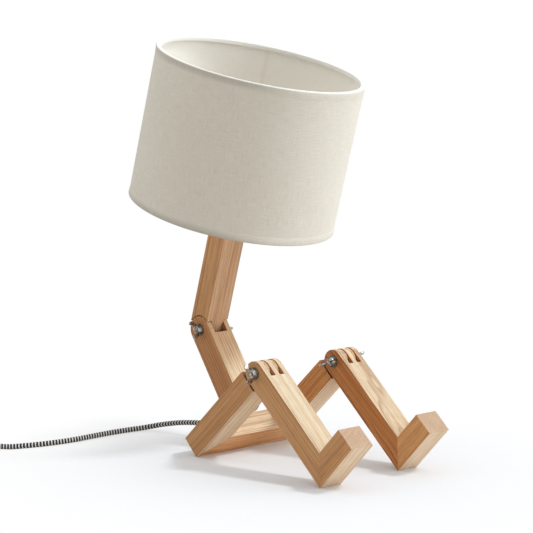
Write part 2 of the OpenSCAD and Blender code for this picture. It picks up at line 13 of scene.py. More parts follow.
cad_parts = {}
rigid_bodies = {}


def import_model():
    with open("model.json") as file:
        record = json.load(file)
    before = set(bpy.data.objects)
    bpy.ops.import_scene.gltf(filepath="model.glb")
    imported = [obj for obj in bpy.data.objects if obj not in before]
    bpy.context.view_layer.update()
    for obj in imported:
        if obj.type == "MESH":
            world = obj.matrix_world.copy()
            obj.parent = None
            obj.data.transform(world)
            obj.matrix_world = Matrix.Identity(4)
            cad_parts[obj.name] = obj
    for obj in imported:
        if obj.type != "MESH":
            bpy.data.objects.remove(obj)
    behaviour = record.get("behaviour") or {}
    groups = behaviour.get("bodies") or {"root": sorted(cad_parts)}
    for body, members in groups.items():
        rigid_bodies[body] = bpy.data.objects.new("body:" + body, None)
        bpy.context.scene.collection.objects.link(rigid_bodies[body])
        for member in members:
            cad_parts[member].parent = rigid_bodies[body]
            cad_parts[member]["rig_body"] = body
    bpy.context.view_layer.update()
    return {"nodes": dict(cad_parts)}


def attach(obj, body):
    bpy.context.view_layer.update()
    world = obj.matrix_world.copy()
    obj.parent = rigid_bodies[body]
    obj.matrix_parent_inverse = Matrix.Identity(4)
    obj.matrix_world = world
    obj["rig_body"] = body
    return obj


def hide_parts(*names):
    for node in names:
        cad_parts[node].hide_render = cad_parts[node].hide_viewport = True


MM = 0.001
TAU = 2 * math.pi

# The bolts and bars, as in the CAD: points in the XZ plane, angles above the table
MID_X = 0.040138
BAR_W = 0.030
HIPS_W = 0.1445
LEG_Y = (HIPS_W - BAR_W) / 2
THIGH_A = math.radians(44.8)
SHIN_A = math.radians(41.676)
TORSO_A = math.radians(124.9)
NECK_A = math.radians(75.5)
POST_A = math.radians(101.3)
HIP = Vector((-MID_X, 0, 0))
KNEE = Vector((0.082690 - MID_X, 0, 0.099379))
WAIST = Vector((-0.009869 - MID_X, 0, 0.049249))
NECK = Vector((-0.059703 - MID_X, 0, 0.120685))
TORSO_L = 0.0871
# How far the middle line of the neck bar lies behind its bolt
NECK_BACK = 0.003


def direction(angle):
    return Vector((math.cos(angle), 0, math.sin(angle)))


hip_way = Vector((0, 1, 0))
thigh_way = direction(THIGH_A)
shin_way = direction(-SHIN_A)
foot_way = direction(math.pi / 2 - SHIN_A)
torso_way = direction(TORSO_A)
neck_way = direction(NECK_A)
post_way = direction(POST_A)
neck_mid = NECK + NECK_BACK * direction(NECK_A + math.pi / 2)
right = Vector((0, -LEG_Y, 0))
left = Vector((0, LEG_Y, 0))

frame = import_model()
nodes = frame["nodes"]


def srgb(r, g, b):
    """A colour written as 0 to 255, as the linear colour with alpha that a socket takes."""
    linear = [c / 255 / 12.92 if c <= 10 else ((c / 255 + 0.055) / 1.055) ** 2.4 for c in (r, g, b)]
    return (*linear, 1)


# ---- Materials ----


class Graph:
    """A shader's node tree, with short ways to add and join nodes."""

    def __init__(self, tree):
        self.tree = tree

    def add(self, kind, inputs=None, **settings):
        """Adds a node. inputs maps its sockets to values or to the outputs that feed them."""
        node = self.tree.nodes.new("ShaderNode" + kind)
        for key, value in settings.items():
            setattr(node, key, value)
        for key, value in (inputs or {}).items():
            self.put(node, key, value)
        return node

    def put(self, node, key, value):
        if isinstance(value, bpy.types.NodeSocket):
            self.tree.links.new(value, node.inputs[key])
        else:
            node.inputs[key].default_value = value

    def math(self, operation, a, b=0.0):
        return self.add("Math", {0: a, 1: b}, operation=operation).outputs[0]

    def vector(self, operation, a, b=(0, 0, 0)):
        node = self.add("VectorMath", {0: a, 1: b}, operation=operation)
        return node.outputs["Value" if operation in ("LENGTH", "DOT_PRODUCT", "DISTANCE") else "Vector"]

    def stretched(self, coordinates, scale, offset=(0, 0, 0)):
        return self.add("Mapping", {"Vector": coordinates, "Scale": scale, "Location": offset}).outputs[0]

    def noise(self, coordinates, scale=1.0, detail=3.0, roughness=0.5):
        values = {"Vector": coordinates, "Scale": scale, "Detail": detail, "Roughness": roughness}
        return self.add("TexNoise", values).outputs[0]

    def ramp(self, value, *stops):
        """A colour ramp from (position, colour or grey) stops."""
        node = self.add("ValToRGB", {0: value})
        elements = node.color_ramp.elements
        while len(elements) < len(stops):
            elements.new(0.5)
        for element, (position, colour) in zip(elements, stops):
            element.position = position
            element.color = colour if hasattr(colour, "__len__") else (colour, colour, colour, 1)
        return node.outputs[0]

    def mix(self, factor, a, b, blend="MIX"):
        node = self.add("Mix", data_type="RGBA", blend_type=blend)
        for key, value in ((0, factor), (6, a), (7, b)):
            self.put(node, key, value)
        return node.outputs[2]

    def rescaled(self, value, before, after):
        """Maps one range of a value to another, and holds it at the ends."""
        values = {0: value, 1: before[0], 2: before[1], 3: after[0], 4: after[1]}
        return self.add("MapRange", values).outputs[0]

    def seen(self):
        """1 where a surface is looked at, also by way of metal or glass, and 0 where it only gives light."""
        path = self.add("LightPath")
        direct = self.math("MAXIMUM", path.outputs["Is Camera Ray"], path.outputs["Is Glossy Ray"])
        return self.math("MAXIMUM", direct, path.outputs["Is Transmission Ray"])


class Tree(Graph):
    """A material's node tree around its main shader."""

    def __init__(self, name):
        self.material = bpy.data.materials.new(name)
        self.material.use_nodes = True
        super().__init__(self.material.node_tree)
        self.shader = self.tree.nodes["Principled BSDF"]
        self.output = self.tree.nodes["Material Output"]

    def set(self, **inputs):
        """Sets the main shader's sockets, with _ for a space in their names."""
        for key, value in inputs.items():
            self.put(self.shader, key.replace("_", " "), value)

    def bump(self, height, distance, strength):
        values = {"Height": height, "Distance": distance, "Strength": strength}
        self.set(Normal=self.add("Bump", values).outputs[0])


OAK_PALE = srgb(243, 227, 200)
OAK_MID = srgb(230, 204, 167)
OAK_DARK = srgb(186, 140, 96)
OAK_LINE = srgb(150, 96, 54)
OAK_END = srgb(184, 142, 112)
SLOT_PAINTED_SHADE = srgb(104, 58, 32)
OAK_PORE = srgb(140, 94, 58)
# Painted light and shade by which way a face looks: the bars' sides darker and browner as if in shade, their
# lower faces brighter as if lit from the front and below, and the shins' upper faces and the toes' ends a
# little darker and greyer. The last tint is a painted shadow that turns the torso bar's front browner towards
# the neck
SIDE_PAINTED_SHADE = (0.75, 0.515, 0.325)
LOW_PAINTED_LIGHT = (1.14, 1.16, 1.26)
TOP_PAINTED_SHADE = (0.905, 0.945, 0.99)
TORSO_PAINTED_SHADOW = (0.86, 0.72, 0.62)
# Fine rings for each metre from the tree's heart, their changes for each metre along the bar, and how far
# apart the dark lines of late wood are
RINGS = 620
RING_CHANGE = 5
LINE_PITCH = 0.0029


def oak_figure(t, local, seed, centre, wave, lines):
    """The colour of a bar's figure, and the tones of its streaks and pores. The grain runs along local X."""
    shifted = t.vector("ADD", local, (seed * 0.37, seed * 0.011, seed * 0.017))
    drift = t.noise(t.stretched(shifted, (5, 24, 24)), detail=3)
    hearted = t.stretched(local, (0.05, 1, 1), (0, centre[0], centre[1]))
    distance = t.math("ADD", t.vector("LENGTH", hearted), t.math("MULTIPLY", drift, wave * 2.5))
    length = t.add("SeparateXYZ", {0: shifted}).outputs[0]
    rings = {0: t.math("MULTIPLY", distance, RINGS), 1: t.math("MULTIPLY", length, RING_CHANGE)}
    ringed = t.add("CombineXYZ", rings).outputs[0]
    ring_tone = t.ramp(t.noise(ringed, 1, 3, 0.6), (0.3, 0.0), (0.7, 1.0))
    spread = t.math("MULTIPLY", t.noise(t.stretched(ringed, (0.22, 0.3, 1)), detail=1), 2.6)
    phase = t.math("FRACT", t.math("ADD", t.math("DIVIDE", distance, LINE_PITCH), spread))
    line_tone = t.ramp(phase, (0, 0.0), (0.5, 0.05), (0.84, 0.9), (0.93, 1.0), (1, 0.0))
    fading = t.ramp(t.noise(t.stretched(shifted, (6, 60, 60)), detail=2), (0.3, 0.15), (0.6, 1.0))
    line_tone = t.math("MULTIPLY", line_tone, fading)
    streaks = t.noise(t.stretched(shifted, (7, 760, 760)), detail=4, roughness=0.65)
    streak_tone = t.ramp(streaks, (0.3, 0.0), (0.7, 1.0))
    bands = t.ramp(t.noise(t.stretched(shifted, (3, 80, 80)), detail=2), (0.3, 0.0), (0.7, 1.0))
    grain = t.math("ADD", t.math("MULTIPLY", ring_tone, 0.3), t.math("MULTIPLY", streak_tone, 0.46))
    grain = t.math("ADD", grain, t.math("MULTIPLY", bands, 0.24))
    colour = t.ramp(grain, (0.16, OAK_PALE), (0.5, OAK_MID), (0.95, OAK_DARK))
    colour = t.mix(t.math("MULTIPLY", line_tone, lines), colour, OAK_LINE)
    pores = t.noise(t.stretched(shifted, (60, 2500, 2500)), detail=2)
    pore_tone = t.ramp(pores, (0.33, 0.0), (0.43, 1.0))
    colour = t.mix(t.math("MULTIPLY", t.math("SUBTRACT", 1.0, pore_tone), 0.45), colour, OAK_PORE)
    return colour, streak_tone, pore_tone


def wood(
    name, origin, along, seed, centre=(0.03, 0.05), wave=0.004, lines=0.25,
    sides=None, inside=None, front=None, shadow_stretch=None,
):
    """Pale oak whose grain runs along a direction.

    centre is the tree's heart beside the bar, wave is how far the rings drift and lines the strength of the
    dark late wood. sides is a further painted light and shade on the side faces, set for each bar. inside is
    the stretch between the bar's bolts, where the faces across the grain, the bottoms of slots and shoulders,
    get a painted shade. front is a painted shade on the faces that look forward and down. The last argument
    is the stretch over which a painted shadow from the shade above turns the faces that look forward browner.
    """
    t = Tree(name)
    across = hip_way if abs(along.y) < 0.5 else thigh_way
    turn = Matrix((along, across, along.cross(across))).transposed().to_euler()
    coordinates = t.add("TexCoord")
    normal = coordinates.outputs["Normal"]
    place = {"Vector": coordinates.outputs["Object"], "Location": origin, "Rotation": turn}
    local = t.add("Mapping", place, vector_type="TEXTURE").outputs[0]
    spot = t.add("SeparateXYZ", {0: local}).outputs[0]
    colour, streak_tone, pore_tone = oak_figure(t, local, seed, centre, wave, lines)

    ahead = t.vector("DOT_PRODUCT", normal, tuple(along))
    end = t.ramp(t.math("ABSOLUTE", ahead), (0.8, 0.0), (0.97, 1.0))
    colour = t.mix(t.math("MULTIPLY", end, 0.7), colour, OAK_END)
    # Painted shade on the bottoms of slots and shoulders between the bolts
    if inside:
        after = t.math("GREATER_THAN", spot, inside[0])
        between = t.math("MULTIPLY", after, t.math("LESS_THAN", spot, inside[1]))
        colour = t.mix(t.math("MULTIPLY", t.math("MULTIPLY", end, between), 0.85), colour, SLOT_PAINTED_SHADE)

    facing = t.add("SeparateXYZ", {0: normal})
    side = t.ramp(t.math("ABSOLUTE", facing.outputs[1]), (0.45, 0.0), (0.9, 1.0))
    down = t.math("MULTIPLY", facing.outputs[2], -1.0)
    low = t.ramp(down, (0.3, 0.0), (0.6, 1.0))
    forward = t.ramp(facing.outputs[0], (0.4, 0.0), (0.65, 1.0))
    top = t.math("MULTIPLY", forward, t.ramp(facing.outputs[2], (0.715, 0.0), (0.735, 1.0)))
    # Painted light and shade by which way each face looks
    tints = [(side, SIDE_PAINTED_SHADE), (low, LOW_PAINTED_LIGHT), (top, TOP_PAINTED_SHADE)]
    # Painted shade on forward faces, a painted shadow along the torso's front, and each bar's painted side
    # light and shade
    if front:
        overhang = t.ramp(down, (0.05, 0.0), (0.2, 1.0))
        tints.append((t.math("MULTIPLY", forward, overhang), front))
    # Painted shadow from the shade above along the torso bar's front
    if shadow_stretch:
        tints.append((t.math("MULTIPLY", forward, t.rescaled(spot, shadow_stretch, (0, 1))), TORSO_PAINTED_SHADOW))
    if sides:
        tints.append((side, sides))
    for where, tint in tints:
        colour = t.mix(where, colour, (*tint, 1), "MULTIPLY")

    t.set(Base_Color=colour, Roughness=t.math("ADD", 0.44, t.math("MULTIPLY", streak_tone, 0.16)))
    t.set(Specular_IOR_Level=0.38)
    relief = t.math("ADD", t.math("MULTIPLY", streak_tone, -0.3), t.math("MULTIPLY", pore_tone, 0.7))
    t.bump(relief, 0.00012, 0.5)
    return t.material


# The ends of the nickel's painted reflections: dark and bright patches laid into its colour
NICKEL_DARK_REFLECTION = srgb(102, 98, 92)
NICKEL_BRIGHT_REFLECTION = srgb(192, 188, 182)
NUT_HOLLOW_SHADE = srgb(84, 74, 64)
# The height above the wood that a nut's hollows are measured in
NUT_H = 0.01


def nickel(name, near=None):
    """Bright nickel plate with faint casting ripples and small scratches. The ripples also swing its colour
    between dark and bright as painted reflections.

    near is the Y of the wood's face that a nut clamps. Close to that face its hollows get a painted shade.
    """
    t = Tree(name)
    here = t.add("TexCoord").outputs["Object"]
    waves_and_reflections = t.noise(here, 260, 2)
    scratches = t.noise(t.stretched(here, (900, 900, 5200)), detail=2)
    # Painted reflections: the colour swings between dark and bright with the casting ripples
    colour = t.ramp(waves_and_reflections, (0.34, NICKEL_DARK_REFLECTION), (0.66, NICKEL_BRIGHT_REFLECTION))
    if near is not None:
        # Painted shade in the nut's hollows close to the wood
        height = t.math("SUBTRACT", near, t.add("SeparateXYZ", {0: here}).outputs[1])
        hollow = t.ramp(t.math("DIVIDE", height, NUT_H), (0.12, 0.8), (0.32, 0.0))
        colour = t.mix(hollow, colour, NUT_HOLLOW_SHADE)
    t.set(Base_Color=colour, Metallic=1.0)
    t.set(Roughness=t.math("ADD", 0.14, t.math("MULTIPLY", scratches, 0.2)))
    t.bump(waves_and_reflections, 0.0004, 0.25)
    return t.material


def metal(name, low, high, roughness):
    """Drawn wire or sheet metal with a light brushed variation."""
    t = Tree(name)
    here = t.add("TexCoord").outputs["Object"]
    cloud = t.noise(here, 180, 3)
    t.set(Base_Color=t.ramp(cloud, (0.3, low), (0.7, high)), Metallic=1.0)
    t.set(Roughness=t.math("ADD", roughness, t.math("MULTIPLY", cloud, 0.14)))
    t.bump(t.noise(here, 2400, 1), 0.00003, 0.5)
    return t.material


def plastic(name, low, high, roughness, texture=0.00004):
    """Moulded plastic or powder coat: a fine even texture and a faint change of tone."""
    t = Tree(name)
    here = t.add("TexCoord").outputs["Object"]
    cloud = t.noise(here, 45, 3)
    fine = t.noise(here, 2200, 2)
    t.set(Base_Color=t.ramp(cloud, (0.3, low), (0.7, high)))
    t.set(Roughness=t.math("ADD", roughness, t.math("MULTIPLY", fine, 0.12)))
    t.bump(fine, texture, 0.7)
    return t.material


SHADE_R = 0.110
# Measured along a hem's section from its sewn edge: where its fold over the wire starts, and from there the
# stretches over which a painted shade darkens the hem just below the fold, and over which the fold's painted
# light begins: a painted highlight on the upper hem and a painted shade on the lower
ROLL_FROM = 0.0074
CREASE = (-0.0065, -0.0005)
FOLD = (0.0002, 0.0009)
# Where the painted shade under the hems' folds lies, on the side away from the light, as parts of a turn
# around the shade with the strength there
SHADED_ARC = ((0.62, 0.1), (0.72, 1.0), (0.86, 1.0), (0.94, 0.0))
CREASE_PAINTED_SHADE = srgb(120, 114, 102)
SEAM_SHADE = srgb(176, 164, 138)


def linen(name, low, mid, high, thread=0.00062, relief=0.00018, seam=None, fold=None, crease_shade=0.0):
    """Plain-woven linen, with a UV map in metres: u around the shade, v along it.

    seam is the u of an overlap. fold is the colour painted on a hem where it is folded over the wire: a
    painted highlight on the upper hem and a painted shade on the lower. The last argument is how much painted
    shade darkens the hem towards that fold, on the side away from the light.
    """
    t = Tree(name)
    flat = t.add("UVMap", uv_map="metres").outputs[0]
    wobble = t.math("MULTIPLY", t.noise(t.stretched(flat, (160, 160, 1)), detail=2), 0.0006)
    moved = t.vector("ADD", flat, t.add("CombineXYZ", {0: wobble, 1: wobble}).outputs[0])
    u, v = (t.add("SeparateXYZ", {0: moved}).outputs[i] for i in (0, 1))
    warp = t.math("SINE", t.math("MULTIPLY", u, math.pi / thread))
    weft = t.math("SINE", t.math("MULTIPLY", v, math.pi / thread))
    raised = t.math("ADD", t.math("MULTIPLY", t.math("MULTIPLY", warp, weft), 0.5), 0.5)
    along = t.noise(t.stretched(flat, (70, 1500, 1)), detail=3, roughness=0.6)
    up = t.noise(t.stretched(flat, (1500, 70, 1)), detail=3, roughness=0.6)
    slubs = t.math("MULTIPLY", t.math("ADD", along, up), 0.5)
    slub_tone = t.ramp(slubs, (0.34, 0.0), (0.64, 1.0))
    clouds = t.ramp(t.noise(t.stretched(flat, (14, 14, 1)), detail=3), (0.3, 0.0), (0.7, 1.0))
    tone = t.math("ADD", t.math("MULTIPLY", slub_tone, 0.52), t.math("MULTIPLY", clouds, 0.06))
    tone = t.math("ADD", tone, t.math("MULTIPLY", raised, 0.42))
    colour = t.ramp(tone, (0.1, low), (0.5, mid), (0.9, high))
    if seam is not None:
        apart = t.math("ABSOLUTE", t.math("SUBTRACT", u, seam))
        colour = t.mix(t.ramp(apart, (0.0005, 0.1), (0.001, 0.0)), colour, SEAM_SHADE)
    if fold is not None:
        # Painted shade under the fold on the side away from the light, then the fold's painted light, bright
        # on the upper hem and dim on the lower
        around = t.math("DIVIDE", u, TAU * SHADE_R)
        shaded_side = t.ramp(around, *SHADED_ARC)
        crease_shading = t.ramp(v, (ROLL_FROM + CREASE[0], 0.0), (ROLL_FROM + CREASE[1], crease_shade))
        colour = t.mix(t.math("MULTIPLY", crease_shading, shaded_side), colour, CREASE_PAINTED_SHADE)
        folded = t.ramp(v, (ROLL_FROM + FOLD[0], 0.0), (ROLL_FROM + FOLD[1], 0.75))
        colour = t.mix(folded, colour, fold)
    t.set(Base_Color=colour, Roughness=0.85, Specular_IOR_Level=0.2, Sheen_Weight=0.1, Sheen_Roughness=0.5)
    height = t.math("ADD", t.math("MULTIPLY", raised, 0.5), t.math("MULTIPLY", slub_tone, 0.5))
    t.bump(height, relief, 0.6)
    return t.material


# The braid: strands and chevrons around the cord, length of its repeat, and the chevrons' depth in repeats
STRANDS = 6
CHEVRONS = 2
BRAID_PITCH = 0.0037
CHEVRON_DEPTH = 0.75


def braid():
    """Black braid with white chevrons. Its UV map counts strands around the cord and repeats along it."""
    t = Tree("braided_cord")
    flat = t.add("UVMap", uv_map="strands").outputs[0]
    u, v = (t.add("SeparateXYZ", {0: flat}).outputs[i] for i in (0, 1))
    around = t.math("FRACT", t.math("ADD", t.math("DIVIDE", u, STRANDS / CHEVRONS), 0.5))
    slant = t.math("ABSOLUTE", t.math("SUBTRACT", around, 0.5))
    phase = t.math("FRACT", t.math("ADD", v, t.math("MULTIPLY", slant, CHEVRON_DEPTH)))
    threads = t.noise(t.stretched(flat, (9, 9, 1)), detail=2)
    ragged = t.math("ADD", phase, t.math("MULTIPLY", threads, 0.06))
    white = t.ramp(ragged, (0.05, 0.0), (0.1, 1.0), (0.4, 1.0), (0.46, 0.0))
    black = t.ramp(threads, (0.3, srgb(22, 22, 26)), (0.7, srgb(46, 46, 51)))
    pale = t.ramp(threads, (0.3, srgb(214, 213, 210)), (0.7, srgb(244, 243, 240)))
    t.set(Base_Color=t.mix(white, black, pale), Roughness=0.72, Specular_IOR_Level=0.3)
    t.set(Sheen_Weight=0.15, Sheen_Roughness=0.4)
    bulge = t.math("ABSOLUTE", t.math("SINE", t.math("MULTIPLY", phase, TAU)))
    t.bump(t.math("ADD", bulge, t.math("MULTIPLY", threads, 0.4)), 0.0003, 0.8)
    return t.material


def opal_glass():
    """The bulb's milky glass."""
    t = Tree("opal_glass")
    here = t.add("TexCoord").outputs["Object"]
    cloud = t.noise(here, 30, 2)
    t.set(Base_Color=t.ramp(cloud, (0.3, srgb(240, 238, 230)), (0.7, srgb(248, 247, 242))), Roughness=0.12)
    t.set(Coat_Weight=0.6, Coat_Roughness=0.05, Subsurface_Weight=0.15)
    t.bump(cloud, 0.0002, 0.2)
    return t.material


# The stretches between the bolts, where the slots' bottoms get a painted shade, and the one over which a
# painted shadow from the shade above turns the torso bar's front browner, measured along each bar from the
# bolt at its origin
thigh_inside = (-0.1, 0.0)
shin_inside = (0.0, 0.1)
torso_inside = (0.0, TORSO_L)
torso_shadow_stretch = (0.031, 0.064)

# front gives the hip bar's and neck bar's forward faces a painted shade, sides gives each bar's side faces
# their own painted light and shade, and the torso bar gets a painted shadow towards the neck
woods = {
    "hip_bar": wood("oak_hip_bar", HIP, hip_way, 1, (0.012, 0.035), lines=0.5, front=(1.0, 0.7, 0.46)),
    "right_thigh": wood(
        "oak_right_thigh", KNEE + right, thigh_way, 2, (0.022, 0.046), lines=0.32, inside=thigh_inside,
    ),
    "left_thigh": wood(
        "oak_left_thigh", KNEE + left, thigh_way, 3, (-0.018, 0.04), lines=0.4,
        sides=(1.08, 0.94, 0.75), inside=thigh_inside,
    ),
    "waist_post": wood("oak_waist_post", WAIST, post_way, 4, (0.02, 0.05)),
    "right_shin": wood(
        "oak_right_shin", KNEE + right, shin_way, 5, (0.028, -0.05), lines=0.34, inside=shin_inside,
    ),
    "left_shin": wood(
        "oak_left_shin", KNEE + left, shin_way, 6, (-0.004, 0.022), wave=0.007, lines=0.65,
        sides=(0.98, 0.77, 0.56), inside=shin_inside,
    ),
    "right_foot": wood("oak_right_foot", KNEE + right, foot_way, 7, (0.05, 0.03), lines=0.35),
    "left_foot": wood(
        "oak_left_foot", KNEE + left, foot_way, 8, (0.045, 0.05), lines=0.35, sides=(1.24, 1.24, 1.2),
    ),
    "torso_bar": wood(
        "oak_torso_bar", WAIST, torso_way, 9, (0.035, 0.055), lines=0.6,
        sides=(0.91, 0.83, 0.78), inside=torso_inside, shadow_stretch=torso_shadow_stretch,
    ),
    "neck_bar": wood(
        "oak_neck_bar", neck_mid, neck_way, 10, (0.05, 0.07), wave=0.003, lines=0.4, front=(0.82, 0.66, 0.59),
    ),
}
dowel_wood = wood("oak_dowels", HIP, hip_way, 11, sides=(0.94, 0.79, 0.73))
nickel_plate = nickel("nickel_plate")
nut_nickel = {
    bolt: nickel(bolt + "_nut_nickel", y - BAR_W / 2)
    for bolt, y in (("right_knee", -LEG_Y), ("left_knee", LEG_Y), ("waist", 0), ("neck", 0))
}
washer_steel = metal("washer_steel", srgb(96, 90, 84), srgb(132, 126, 118), 0.24)
wire_steel = metal("wire_steel", srgb(150, 148, 144), srgb(186, 184, 180), 0.3)
brass = metal("brass", srgb(196, 156, 84), srgb(222, 186, 112), 0.24)
pin_metal = metal("pin_metal", srgb(190, 188, 184), srgb(224, 222, 218), 0.18)
cap_metal = metal("cap_metal", srgb(176, 174, 168), srgb(212, 210, 205), 0.22)
black_plastic = plastic("black_plastic", srgb(26, 26, 28), srgb(38, 38, 41), 0.4)
lead_plastic = plastic("lead_plastic", srgb(30, 30, 32), srgb(46, 46, 50), 0.5)
holder_plastic = plastic("holder_plastic", srgb(232, 229, 221), srgb(243, 241, 235), 0.34)
frame_paint = plastic("frame_paint", srgb(226, 225, 220), srgb(240, 239, 235), 0.38)
cover_linen = linen("shade_linen", srgb(212, 206, 192), srgb(228, 224, 213), srgb(240, 238, 230))
hem_colours = srgb(212, 206, 192), srgb(230, 226, 215), srgb(242, 240, 232)
# The upper hem's fold gets a painted highlight and the lower hem's a painted shade, and both a painted shade
# under the fold
upper_hem_linen = linen("upper_hem_linen", *hem_colours, fold=srgb(250, 249, 245), crease_shade=0.52)
lower_hem_linen = linen("lower_hem_linen", *hem_colours, fold=srgb(190, 184, 170), crease_shade=0.38)
liner_fabric = linen(
    "shade_lining", srgb(240, 237, 226), srgb(249, 246, 238), srgb(253, 251, 246), relief=0.0001, seam=0.2507,
)
cord_braid = braid()
tie_fabric = plastic("tie_fabric", srgb(34, 34, 37), srgb(52, 52, 56), 0.75, 0.00012)
opal = opal_glass()


# ---- Small tools for meshes ----

# Corners closer than this are joined before rounding, and faces this close to one plane made one, in degrees
WELD = 0.000002
FLAT = 0.4
# Edges sharper than this stay sharp, in degrees
SHARP = 35


def mesh_of(name, form, sharp=SHARP):
    """Ends a form as a smooth mesh with sharp edges."""
    mesh = bpy.data.meshes.new(name)
    form.to_mesh(mesh)
    form.free()
    mesh.shade_smooth()
    mesh.set_sharp_from_angle(angle=math.radians(sharp))
    return mesh


def piece(name, mesh, body, material, replaced=()):
    """Makes an object of a mesh that is in the row frame, on a body and with one material."""
    thing = bpy.data.objects.new(name, mesh)
    bpy.context.scene.collection.objects.link(thing)
    mesh.materials.clear()
    mesh.materials.append(material)
    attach(thing, body)
    if replaced:
        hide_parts(*replaced)
    return thing


def body_of(node):
    return nodes[node]["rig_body"]


def softened(node, material, width, segments=3, angle=32):
    """Stands for a CAD node with its flat faces whole and its sharp edges rounded."""
    form = bmesh.new()
    form.from_mesh(nodes[node].data)
    bmesh.ops.remove_doubles(form, verts=form.verts, dist=WELD)
    bmesh.ops.dissolve_limit(form, angle_limit=math.radians(FLAT), verts=form.verts, edges=form.edges)
    name = node + "_rounded"
    thing = piece(name, mesh_of(name, form, angle), body_of(node), material, (node,))
    bevel = thing.modifiers.new("edges", "BEVEL")
    bevel.width = width
    bevel.segments = segments
    bevel.limit_method = "ANGLE"
    bevel.angle_limit = math.radians(angle)
    bevel.harden_normals = True
    bevel.use_clamp_overlap = True


def placed(origin, axis):
    """A matrix whose local Z runs along an axis in the XZ plane and whose local Y stays level."""
    level = Vector((0, 1, 0))
    side = level.cross(axis).normalized()
    place = Matrix((side, level, axis)).transposed().to_4x4()
    place.translation = origin
    return place


def lathe(name, profile, place, turns):
    """A solid turned from a closed line of (radius, height) around local Z, with a UV map in metres."""
    form = bmesh.new()
    layer = form.loops.layers.uv.new("metres")
    rings = []
    for i in range(turns):
        a = TAU * i / turns
        ring = [place @ Vector((r * math.cos(a), r * math.sin(a), h)) for r, h in profile]
        rings.append([form.verts.new(point) for point in ring])
    count = len(profile)
    lengths = [0]
    for j in range(1, count + 1):
        a, b = profile[j - 1], profile[j % count]
        lengths.append(lengths[-1] + math.hypot(b[0] - a[0], b[1] - a[1]))
    for i in range(turns):
        here, there = rings[i], rings[(i + 1) % turns]
        for j in range(count):
            k = (j + 1) % count
            corners = [here[j], there[j], there[k], here[k]]
            face = form.faces.new(corners)
            radius = (profile[j][0] + profile[k][0]) / 2
            across = ((i, j), (i + 1, j), (i + 1, j + 1), (i, j + 1))
            for loop, (m, n) in zip(face.loops, across):
                loop[layer].uv = (TAU * radius * m / turns, lengths[n])
    bmesh.ops.recalc_face_normals(form, faces=form.faces)
    return mesh_of(name, form)


def swept(name, route, radius, around=24):
    """A round tube along a route, with a UV map for its braid."""
    form = bmesh.new()
    layer = form.loops.layers.uv.new("strands")
    rings = []
    travelled = [0]
    side = None
    for i, point in enumerate(route):
        way = (route[min(i + 1, len(route) - 1)] - route[max(i - 1, 0)]).normalized()
        side = way.cross(Vector((0, 0, 1))) if side is None else side - way * side.dot(way)
        side.normalize()
        over = side.cross(way)
        ring = []
        for k in range(around):
            a = TAU * k / around
            ring.append(form.verts.new(point + radius * (math.cos(a) * side + math.sin(a) * over)))
        rings.append(ring)
        if i:
            travelled.append(travelled[-1] + (point - route[i - 1]).length)
    for i in range(len(rings) - 1):
        for k in range(around):
            m = (k + 1) % around
            face = form.faces.new([rings[i][k], rings[i][m], rings[i + 1][m], rings[i + 1][k]])
            spots = ((k, i), (k + 1, i), (k + 1, i + 1), (k, i + 1))
            for loop, (a, b) in zip(face.loops, spots):
                loop[layer].uv = (STRANDS * a / around, travelled[b] / BRAID_PITCH)
    for ring in (rings[0], rings[-1]):
        form.faces.new(ring)
    bmesh.ops.recalc_face_normals(form, faces=form.faces)
    return mesh_of(name, form, 50)


def smooth_route(points, parts=6):
    """A Catmull-Rom curve through points, in parts for each stretch."""
    line = []
    for i in range(len(points) - 1):
        a = points[max(i - 1, 0)]
        b, c = points[i], points[i + 1]
        d = points[min(i + 2, len(points) - 1)]
        for k in range(parts):
            t = k / parts
            bend = (2 * a - 5 * b + 4 * c - d) * t * t + (3 * b - a - 3 * c + d) * t ** 3
            line.append(0.5 * (2 * b + (c - a) * t + bend))
    line.append(points[-1])
    return line


# ---- Cord: from the grip to the switch, then to the coil and the plug ----

CORD_D = 0.0056
GRIP_WAY = direction(POST_A + math.pi / 2)
GRIP_TIP = Vector((-0.041661, 0, 0.019523)) + HIP
GRIP_L = 0.026


def from_hip(points):
    """Route points in millimetres from the hip bar's lowest edge, as in the CAD."""
    return [Vector(p) * MM + HIP for p in points]


run_points = [GRIP_TIP, GRIP_TIP + 0.006 * GRIP_WAY] + from_hip([
    (-58, -1, 16.9), (-70, -3, 15.7), (-85, -6, 14), (-98, -9, 12), (-110, -12, 9.5), (-121, -16, 6.8),
    (-129.5, -21.5, 4.4), (-134.5, -31, 3.1), (-137, -45, 2.8), (-138, -62, 2.8), (-138, -81, 2.8),
    (-137, -101, 2.8), (-136, -121, 2.8), (-137, -141, 2.8), (-140, -161, 2.8), (-145, -180, 2.8),
    (-149.5, -197, 3.2), (-151, -212, 5.5), (-151, -224, 7.5), (-151, -232, 7.5),
])
link_points = from_hip([
    (-151, -280, 7.5), (-151, -288, 7.5), (-152, -295, 5.5), (-155.5, -302, 3.6), (-162, -307.8, 2.8),
    (-171, -311, 2.8), (-181, -311.4, 2.8), (-192, -311.4, 2.8),
])
tail_points = from_hip([(-244, -252, 8), (-244, -246, 7.8), (-244, -240, 7.2), (-244, -233, 7)])
COIL = Vector((-0.2075, -0.272, 0)) + HIP
# The radius of each turn in millimetres: four on the table, three on top of them and the way out
COIL_RADII = (39.4, 33.8, 28.2, 22.6, 22.6, 28.2, 33.8, 36.5)
COIL_TURNS = 7.25
COIL_PARTS = 520
# Heights of the two layers in millimetres, and the turns at which the cord climbs from one to the other
COIL_LOW = 2.8
COIL_HIGH = 8.4
CLIMB_FROM = 3.6
CLIMB_TO = 3.93
# The part of each turn after which it crosses over to the next radius
CROSS_FROM = 0.3


def ease(t):
    """0 to 1 with a soft start and end."""
    t = min(max(t, 0), 1)
    return t * t * (3 - 2 * t)


